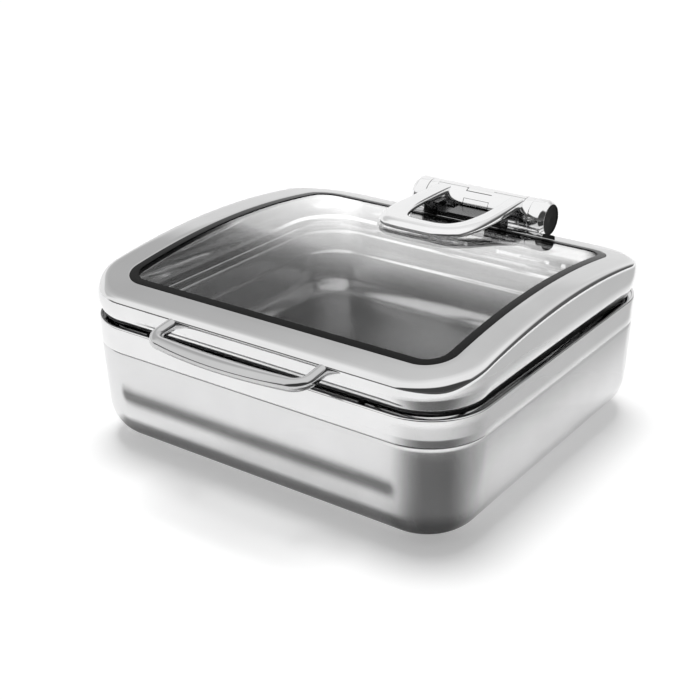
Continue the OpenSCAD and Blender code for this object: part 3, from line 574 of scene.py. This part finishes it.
# %% [markdown]
# ## The release lever
# Over the glass lies a D-shaped loop with a rounded bar, cast in one with a sleeve round the hinge. The bar
# runs between two superellipses, the outer edge and the edge of the opening, so its section spans from the
# one to the other. Thin seams on the sleeve show where it meets the parts beside it.

# %% Lever loop
AXLE_Y, AXLE_Z, BARREL_R = 198, 153.8, 18.2
EAR_X, EAR_END = 17.3, 49.3
LOOP_HALF, LOOP_REACH, LOOP_POWER = 57, 134, 4.4
HOLE_HALF, HOLE_REACH, HOLE_POWER = 38, 109, 3.4
LOOP_TOP, LOOP_WIDEST, LOOP_LOW = 171.8, 165.8, 163.7
FULL_FRONT, FULL_EAR, FULL_UNDER, BARREL_DIP = 2.4, 5.4, 4.0, 0.9


def loop_edge(half_width, reach, power, turn):
    """Half a superellipse from one side over the front to the other, narrowing in a straight line to its
    back."""
    out = np.abs(np.sin(turn)) ** (2 / power)
    narrow = EAR_END / LOOP_HALF
    half = half_width * (narrow + (1 - narrow) * out)
    return np.stack([half * sharpened(np.cos(turn), power), -reach * out], -1)


loop_turn = np.linspace(0, math.pi, 181)
loop_out = loop_edge(LOOP_HALF, LOOP_REACH, LOOP_POWER, loop_turn)
loop_in = loop_edge(HOLE_HALF, HOLE_REACH, HOLE_POWER, loop_turn)
loop_mid, loop_half = (loop_out + loop_in) / 2, (loop_out - loop_in) / 2
round_turn = np.linspace(0, 2 * math.pi, 48, endpoint=False)
near_ear = ramp(loop_mid[:, 1:2], -60, 0) ** 2
fullness_above = FULL_FRONT + (FULL_EAR - FULL_FRONT) * near_ear
fullness = np.where(np.sin(round_turn) > 0, fullness_above, FULL_UNDER)
round_c, round_s = sharpened(np.cos(round_turn), fullness), sharpened(np.sin(round_turn), fullness)
loop_plan = loop_mid[:, None] + loop_half[:, None] * round_c[..., None] + (0, AXLE_Y)
into_barrel = BARREL_DIP * ramp(loop_mid[:, 1:2], -14, 0)
loop_rise = np.where(round_s > 0, LOOP_TOP - into_barrel - LOOP_WIDEST, LOOP_WIDEST - LOOP_LOW) * round_s
loop_grid = with_height(loop_plan, LOOP_WIDEST + loop_rise)
print("loop of the lever:", loop_grid.shape[:2])

# %% Lever sleeve
SLEEVE_IN, SLEEVE_BACK, SLEEVE_FRONT = 15.2, -30, 168
TAB_X, TAB_END = 14.4, 146.2
SEAM_WIDE, SEAM_DEEP = 0.42, 0.35
SEAMS = [(-49.8, 104, -15, 104), (-15, 104, -15, 119.7), (-15, 119.7, 13.6, 119.7),
         (14.2, 101.7, 49.8, 101.7)]


def about_axle(x, radius, turn):
    """Point at a station x, a radius and a turn in degrees about the hinge axle; 0 is the back, 90 the
    top."""
    a = np.radians(turn)
    return np.stack(np.broadcast_arrays(x, AXLE_Y + radius * np.cos(a), AXLE_Z + radius * np.sin(a)), -1)


def seam_depth(x, turn):
    """Depth of the seams, 0 to 1: a narrow bell curve of the distance to the nearest of a few straight
    lines, measured on the sleeve's surface in mm along the axle and round it."""
    arm = math.radians(1) * BARREL_R
    reach = np.full(np.broadcast(x, turn).shape, 99.0)
    for x0, a0, x1, a1 in SEAMS:
        dx = np.maximum(np.maximum(x0 - x, x - x1), 0)
        da = np.maximum(np.maximum(min(a0, a1) - turn, turn - max(a0, a1)), 0) * arm
        reach = np.minimum(reach, np.hypot(dx, da))
    return np.exp(-(reach / SEAM_WIDE) ** 4)


def with_fine(values, marks, spread):
    """Adds a few closely spaced values round each mark inside the range, so that a seam there is sharp."""
    near = (np.asarray(marks)[:, None] + np.linspace(-1, 1, 13) * spread).ravel()
    near = near[(near > values[0]) & (near < values[-1])]
    return np.unique(np.concatenate([values, near]))


def sleeve_plate(x0, x1, front):
    """Curved plate round the axle between two stations, from behind up to the front; its outside carries
    seams."""
    x = with_fine(np.linspace(x0, x1, 14), [-15, 13.9], 0.9)[:, None]
    turn = with_fine(np.linspace(SLEEVE_BACK, front, 45), [101.7, 104, 119.7], 2.6)
    seam = seam_depth(x, turn)
    outer = about_axle(x, BARREL_R - SEAM_DEEP * seam, turn)
    inner = about_axle(x, np.full_like(turn, SLEEVE_IN), turn[::-1])
    return skin(np.concatenate([outer, inner], 1)), np.concatenate([seam, 0 * seam], 1)


def ear(sign):
    """Full drum of an ear under the sleeve."""
    x = np.array([[EAR_X], [EAR_X + 0.01], [EAR_END - 0.3], [EAR_END]]) * sign
    radius = np.array([[17.5], [17.9], [17.9], [17.6]])
    return skin(about_axle(x, radius, np.linspace(0, 360, 73)[:-1]))


plates = [sleeve_plate(-EAR_END, -TAB_X, SLEEVE_FRONT), sleeve_plate(-TAB_X, TAB_X, TAB_END),
          sleeve_plate(TAB_X, EAR_END, SLEEVE_FRONT)]
solids = [skin(loop_grid), ear(-1), ear(1)]
lever_dull = np.concatenate([np.zeros(sum(len(points) for points, faces in solids))]
                            + [seam.ravel() for plate, seam in plates])
lever = piece("lever_loop", "lever", ["release_lever"], cast_polish, *solids,
              *[plate for plate, seam in plates], shade_and_seams=lever_dull)

# %% Latch tab
tab_turn = np.linspace(147.6, SLEEVE_FRONT, 14)
tab_x = np.array([-14.0, -13.8, 0, 13.8, 14.0])[:, None]
tab_r = np.array([18.0, 18.2, 18.2, 18.2, 18.0])[:, None] + 0 * tab_turn
tab = piece("latch_flap", "lever", ["latch_tab"], cast_polish,
            skin(np.concatenate([about_axle(tab_x, tab_r, tab_turn),
                                 about_axle(tab_x, np.full_like(tab_turn, 15.3), tab_turn[::-1])], 1)))

# %% [markdown]
# ## The hinge's ends
# On each side a spacer ring turns beside a collar that stands on an arm behind the rim. Rings, collars and
# caps are turned parts: a profile of stations and radii, spun about the axle.

# %% Rings, collars and caps
SPACER_X, SPACER_END, COLLAR_X, COLLAR_END = 49.6, 58.9, 59.2, 76.2
AXLE_HOLE, COLLAR_R, CAP_R, BLOCK_ROUND = 4.1, 18.6, 15.1, 0.8
full_turn = np.linspace(0, 360, 97)[:-1]


def turned(profile, sign=1):
    """A closed loop of stations and radii spun about the axle."""
    profile = np.asarray(profile, float)
    return skin(about_axle(sign * profile[:, :1], profile[:, 1:2], full_turn), looped=True)


def block(low, high, radius):
    """Block with round edges: a small rounded rectangle carried up, drawn in along a quarter circle at each
    end."""
    low, high = np.asarray(low, float), np.asarray(high, float)
    size, middle = high - low, (low + high) / 2
    way = track(size[0], size[1], radius * 1.01, 6, 4)
    end = arc((-radius, radius), radius, -90, 0, 5)
    profile = np.concatenate([end, end[::-1] * (1, -1) + (0, size[2])])
    rows = with_height(plan_rows(way, profile[:, 0]), low[2] + profile[:, 1:2])
    return skin(rows + (middle[0], middle[1], 0))


def housing_block(sign, x0, x1, y0, y1, z0, z1):
    """Block of one housing, mirrored with its side."""
    return block((min(sign * x0, sign * x1), y0, z0), (max(sign * x0, sign * x1), y1, z1),
                 BLOCK_ROUND)


ring = soft_line([(SPACER_X, AXLE_HOLE), (SPACER_X, BARREL_R), (SPACER_END, BARREL_R),
                  (SPACER_END, AXLE_HOLE)], 0.35, closed=True)
rings = piece("barrel_rings", "lid", ["spacer_rings"], cast_polish, turned(ring), turned(ring, -1))
collar = soft_line([(COLLAR_X, AXLE_HOLE), (COLLAR_X, COLLAR_R), (COLLAR_END - 4, COLLAR_R),
                    (COLLAR_END, 15.7), (COLLAR_END, 15.3), (COLLAR_END - 2.6, 15.3),
                    (COLLAR_END - 2.6, AXLE_HOLE)], [0.3, 0.4, 1.6, 0.3, 0.15, 0.3, 0.3], closed=True)
disc = soft_line([(COLLAR_END - 2.4, 0.01), (COLLAR_END - 2.4, CAP_R), (COLLAR_END - 0.2, CAP_R),
                  (COLLAR_END - 0.2, 14.2), (COLLAR_END - 0.7, 13.8), (COLLAR_END - 0.7, 0.01)], 0.25,
                 closed=True)
for sign, word in ((1, "right"), (-1, "left")):
    housing = piece("hinge_post_" + word, "base", ["damper_housing_" + word], cast_polish,
                    turned(collar, sign), housing_block(sign, 61.7, 73.7, 190, 206, 98, 150),
                    housing_block(sign, 32.7, 73.7, 180.5, 186.5, 98, 117),
                    housing_block(sign, 61.7, 73.7, 181, 198, 98, 117))
    cap = piece("barrel_cap_" + word, "base", ["end_cap_" + word], cap_plastic, turned(disc, sign))

# %% [markdown]
# ## Parts that keep their CAD shape
# Screws, plates, bushes and the parts inside the hinge are already right as solids. They only get a finish.

# %% Finishes of the kept nodes
kept = {
    satin_wall: ["induction_plate", "housing_backing_bar", "knuckle_backing_plate", "hinge_axle"],
    dark_steel: ["lid_knuckle"],
    screw_steel: ["housing_screws", "handle_screws", "knuckle_screws", "axle_set_screw"],
    seal_silicone: ["knuckle_pad"],
    cap_plastic: ["damper_left", "damper_right", "lever_bushes"],
}
for finish, names in kept.items():
    for name in names:
        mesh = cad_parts[name].data
        mesh.materials.clear()
        mesh.materials.append(finish)
print("kept nodes:", sum(len(names) for names in kept.values()))

# %% [markdown]
# ## Floor, cards, room and camera
# The dish stands on a pale floor in a bright room. Polished steel is only as good as what it mirrors, so
# cards stand and lie where the steel looks: dark ones on the floor draw the line along the front, the deep
# corner and the greyer right side, and pale ones behind the hinge brighten the barrel and the rear. The room
# is pale, grey at the back and dark behind the camera. A pane mirrors only a small share of what it sees, so
# a scrim that it alone sees lays the haze over its rear. One soft lamp overhead gives the shadow.

# %% Floor
YAW, PITCH = 0.6074, 0.4289
FLOOR_GREY, FLOOR_LIFT, FLOOR_HALF = 0.76, 0.35, 9


def seen_rays(nodes, links):
    """1 for rays from the camera, a mirror or a glass, 0 for those that carry light to dull surfaces."""
    path = nodes.new("ShaderNodeLightPath")
    total = path.outputs["Is Camera Ray"]
    for kind in ("Is Glossy Ray", "Is Transmission Ray"):
        plus = nodes.new("ShaderNodeMath")
        plus.operation, plus.use_clamp = "ADD", True
        links.new(total, plus.inputs[0])
        links.new(path.outputs[kind], plus.inputs[1])
        total = plus.outputs[0]
    return total


def flat_sheet(name, x, y):
    """Stage object of one face, with half its width and half its depth."""
    mesh = bpy.data.meshes.new(name)
    mesh.from_pydata([(-x, -y, 0), (x, -y, 0), (x, y, 0), (-x, y, 0)], [], [(0, 1, 2, 3)])
    made = bpy.data.objects.new(name, mesh)
    scene.collection.objects.link(made)
    return made


floor = flat_sheet("floor", FLOOR_HALF, FLOOR_HALF)
paper, nodes, links, paper_shader = new_finish("floor_paper")
paper_shader.inputs["Base Color"].default_value = (FLOOR_GREY, FLOOR_GREY, FLOOR_GREY, 1)
paper_shader.inputs["Roughness"].default_value = 1.0
paper_shader.inputs["Specular IOR Level"].default_value = 0.0
lift, scaled, both = (nodes.new("ShaderNodeEmission"), nodes.new("ShaderNodeMath"),
                      nodes.new("ShaderNodeAddShader"))
scaled.operation = "MULTIPLY"
scaled.inputs[1].default_value = FLOOR_LIFT
links.new(seen_rays(nodes, links), scaled.inputs[0])
links.new(scaled.outputs[0], lift.inputs["Strength"])
links.new(paper_shader.outputs["BSDF"], both.inputs[0])
links.new(lift.outputs["Emission"], both.inputs[1])
links.new(both.outputs["Shader"], nodes["Material Output"].inputs["Surface"])
floor.data.materials.append(paper)
print("floor lift", FLOOR_LIFT)

# %% Cards
PALE, PANE_BOOST = 0.95, 2.2


def card(name, place, turn, edge, soft, depth, glow=0.0, fan=False):
    """Card that mirrors alone see, as a photographer sets one up beside steel; the pane sees a pale one
    brighter. It fades out by a smooth step before its edge on each of its two axes; a fan fades by the angle
    from its first axis and by the distance from its middle."""
    made = flat_sheet(name, edge[1] if fan else edge[0], edge[1])
    made.location, made.rotation_euler = place, turn
    made.visible_camera = made.visible_diffuse = made.visible_shadow = made.visible_transmission = False
    paint, nodes, links, shader = new_finish(name)
    nodes.remove(shader)

    def maths(operation, *sources):
        """Math node on one or two values."""
        node = nodes.new("ShaderNodeMath")
        node.operation = operation
        for socket, source in zip(node.inputs, sources):
            links.new(source, socket)
        return node.outputs[0]

    spot, axes, length = (nodes.new("ShaderNodeTexCoord"), nodes.new("ShaderNodeSeparateXYZ"),
                          nodes.new("ShaderNodeVectorMath"))
    length.operation = "LENGTH"
    links.new(spot.outputs["Object"], axes.inputs["Vector"])
    links.new(spot.outputs["Object"], length.inputs[0])
    wide, far = maths("ABSOLUTE", axes.outputs["X"]), maths("ABSOLUTE", axes.outputs["Y"])
    if fan:
        wide, far = maths("ARCTAN2", far, axes.outputs["X"]), length.outputs["Value"]
    steps = []
    for value, end, band, most in ((wide, edge[0], soft[0], depth), (far, edge[1], soft[1], 1.0)):
        step = nodes.new("ShaderNodeMapRange")
        step.interpolation_type = "SMOOTHSTEP"
        step.inputs["From Min"].default_value, step.inputs["From Max"].default_value = end, end - band
        step.inputs["To Max"].default_value = most
        links.new(value, step.inputs["Value"])
        steps.append(step.outputs["Result"])
    clear, light, blend = (nodes.new("ShaderNodeBsdfTransparent"), nodes.new("ShaderNodeEmission"),
                           nodes.new("ShaderNodeMixShader"))
    path, boost = nodes.new("ShaderNodeLightPath"), nodes.new("ShaderNodeMapRange")
    boost.inputs["To Min"].default_value, boost.inputs["To Max"].default_value = glow, PANE_BOOST * glow
    links.new(maths("MULTIPLY", path.outputs["Is Singular Ray"], path.outputs["Is Reflection Ray"]),
              boost.inputs["Value"])
    links.new(boost.outputs["Result"], light.inputs["Strength"])
    links.new(maths("MULTIPLY", *steps), blend.inputs["Fac"])
    links.new(clear.outputs["BSDF"], blend.inputs[1])
    links.new(light.outputs["Emission"], blend.inputs[2])
    links.new(blend.outputs["Shader"], nodes["Material Output"].inputs["Surface"])
    made.data.materials.append(paint)
    return made


LYING, STANDING = (0, 0, 0), (math.pi / 2, 0, 0)
cards = [
    card("front_card", (-0.062, -0.241, 0.0004), LYING, (0.185, 0.016), (0.03, 0.012), 0.82),
    card("under_card", (-0.02, -0.173, 0.0004), LYING, (0.18, 0.031), (0.03, 0.02), 0.65),
    card("corner_card", (0.14, -0.125, 0.0008), (0, 0, YAW - 1.42), (1.35, 0.235), (1.1, 0.03), 0.76,
         fan=True),
    card("corner_shade", (0.14, -0.125, 0.0010), (0, 0, YAW - 1.17), (1.6, 0.33), (0.8, 0.1), 0.28,
         fan=True),
    card("side_card", (0.45, 0.35, 0.0012), LYING, (0.25, 0.75), (0.09, 0.5), 0.42),
    card("hinge_card", (-0.09, 0.275, 0.215), STANDING, (0.13, 0.085), (0.03, 0.03), 1.0, glow=PALE),
    card("low_card", (0.0, 0.276, 0.165), STANDING, (0.1, 0.04), (0.02, 0.02), 1.0, glow=PALE),
    card("left_card", (-0.36, 0.277, 0.23), STANDING, (0.24, 0.1), (0.16, 0.04), 0.9, glow=PALE),
]
print("cards:", [made.name for made in cards])

# %% Room
ROOM_LIGHT, PANE_DARK, PANE_SCRIM = 0.3, 0.05, 4.8

world = bpy.data.worlds.new("studio")
scene.world = world
world.use_nodes = True
nodes, links = world.node_tree.nodes, world.node_tree.links
sky = nodes["Background"]
aim = nodes.new("ShaderNodeTexCoord")
parts = nodes.new("ShaderNodeSeparateXYZ")
toward, aside = nodes.new("ShaderNodeVectorMath"), nodes.new("ShaderNodeVectorMath")
toward.operation = aside.operation = "DOT_PRODUCT"
toward.inputs[1].default_value = (math.sin(YAW), -math.cos(YAW), 0)
aside.inputs[1].default_value = (math.cos(YAW), math.sin(YAW), 0)
for reader in (parts, toward, aside):
    links.new(aim.outputs["Generated"], reader.inputs[0])


def fade(source, start, end):
    """Map Range node that goes from 0 at start to 1 at end and stays there."""
    node = nodes.new("ShaderNodeMapRange")
    node.interpolation_type = "SMOOTHSTEP"
    node.inputs["From Min"].default_value, node.inputs["From Max"].default_value = start, end
    links.new(source, node.inputs["Value"])
    return node.outputs["Result"]


def times(product, *others):
    """Product of two or more values."""
    for other in others:
        node = nodes.new("ShaderNodeMath")
        node.operation = "MULTIPLY"
        links.new(product, node.inputs[0])
        links.new(other, node.inputs[1])
        product = node.outputs["Value"]
    return product


def over(base, grey, mask):
    """Lays a grey over a colour where the mask is 1."""
    node = nodes.new("ShaderNodeMix")
    node.data_type = "RGBA"
    if isinstance(base, float):
        node.inputs["A"].default_value = (base, base, base, 1)
    else:
        links.new(base, node.inputs["A"])
    node.inputs["B"].default_value = (grey, grey, grey, 1)
    links.new(mask, node.inputs["Factor"])
    return node.outputs["Result"]


height, front, side = parts.outputs["Z"], toward.outputs["Value"], aside.outputs["Value"]
ray = nodes.new("ShaderNodeLightPath").outputs
outdoors = fade(ray["Is Transmission Ray"], 1, 0)
in_pane = times(ray["Is Singular Ray"], ray["Is Reflection Ray"])
behind = fade(front, -0.3, -0.5)
back_wall = times(fade(height, 0.07, 0.15), fade(height, 0.78, 0.58), behind)
left_wall = times(back_wall, fade(side, 0.0, -0.2))
right_wall = times(fade(side, 0.5, 0.8), fade(height, 0.7, 0.4))
low_light = times(fade(height, 0.36, 0.26), behind)
hinge_light = times(fade(side, 0.13, 0.07), fade(height, 0.47, 0.38), behind)
camera_side = times(fade(front, 0.48, 0.6), fade(height, 0.9, 0.78), outdoors)
horizon = times(fade(height, -0.01, 0.01), fade(height, 0.30, 0.2), fade(front, -0.3, 0.0), outdoors)
scrim = times(fade(height, 0.53, 0.2), fade(side, -0.2, 0.06), fade(side, 0.22, 0.08), behind, in_pane)
greys = ((0.82, back_wall), (0.64, left_wall), (0.95, low_light), (0.95, hinge_light), (0.12, right_wall),
         (0.06, camera_side), (0.1, horizon), (PANE_DARK, in_pane), (PANE_SCRIM, scrim),
         (1.0, ray["Is Camera Ray"]))
room = 1.0
for grey, mask in greys:
    room = over(room, grey, mask)
links.new(room, sky.inputs["Color"])
strength = nodes.new("ShaderNodeMapRange")
strength.inputs["To Min"].default_value = ROOM_LIGHT
links.new(seen_rays(nodes, links), strength.inputs["Value"])
links.new(strength.outputs["Result"], sky.inputs["Strength"])
print("room of", len(greys), "greys, light", ROOM_LIGHT)

# %% Lamp
LAMP_ENERGY, LAMP_ANGLE, LAMP_AIM = 2.2, 0.4, (0.22, -0.25, -2.0)

lamp_data = bpy.data.lights.new("overhead", "SUN")
lamp_data.energy, lamp_data.angle = LAMP_ENERGY, LAMP_ANGLE
lamp = bpy.data.objects.new("overhead", lamp_data)
lamp.rotation_euler = Vector(LAMP_AIM).to_track_quat("-Z", "Y").to_euler()
lamp.visible_glossy = lamp.visible_transmission = False
scene.collection.objects.link(lamp)
print("lamp turned by", [round(math.degrees(a), 1) for a in lamp.rotation_euler])

# %% Camera
FOCAL, MIDDLE_U, MIDDLE_V, FRAME_SIDE = 1304.91, 366.0, 347.2, 700
CAMERA_PLACE = (0.62011, -0.90171, 0.57168)

camera_data = bpy.data.cameras.new("camera")
camera = bpy.data.objects.new("camera", camera_data)
scene.collection.objects.link(camera)
camera_data.sensor_width = 36
camera_data.lens = FOCAL / FRAME_SIDE * camera_data.sensor_width
camera_data.shift_x = -(MIDDLE_U - FRAME_SIDE / 2) / FRAME_SIDE
camera_data.shift_y = (MIDDLE_V - FRAME_SIDE / 2) / FRAME_SIDE
camera_data.clip_end = 50
ahead = Vector((-math.sin(YAW) * math.cos(PITCH), math.cos(YAW) * math.cos(PITCH), -math.sin(PITCH)))
right = Vector((math.cos(YAW), math.sin(YAW), 0))
up = right.cross(ahead)
camera_turn = Matrix((right, up, -ahead)).transposed().to_4x4()
camera.matrix_world = Matrix.Translation(CAMERA_PLACE) @ camera_turn
scene.camera = camera
scene.view_settings.view_transform = "Standard"
print("camera lens", round(camera_data.lens, 2))

# %% Finish
bpy.context.view_layer.update()
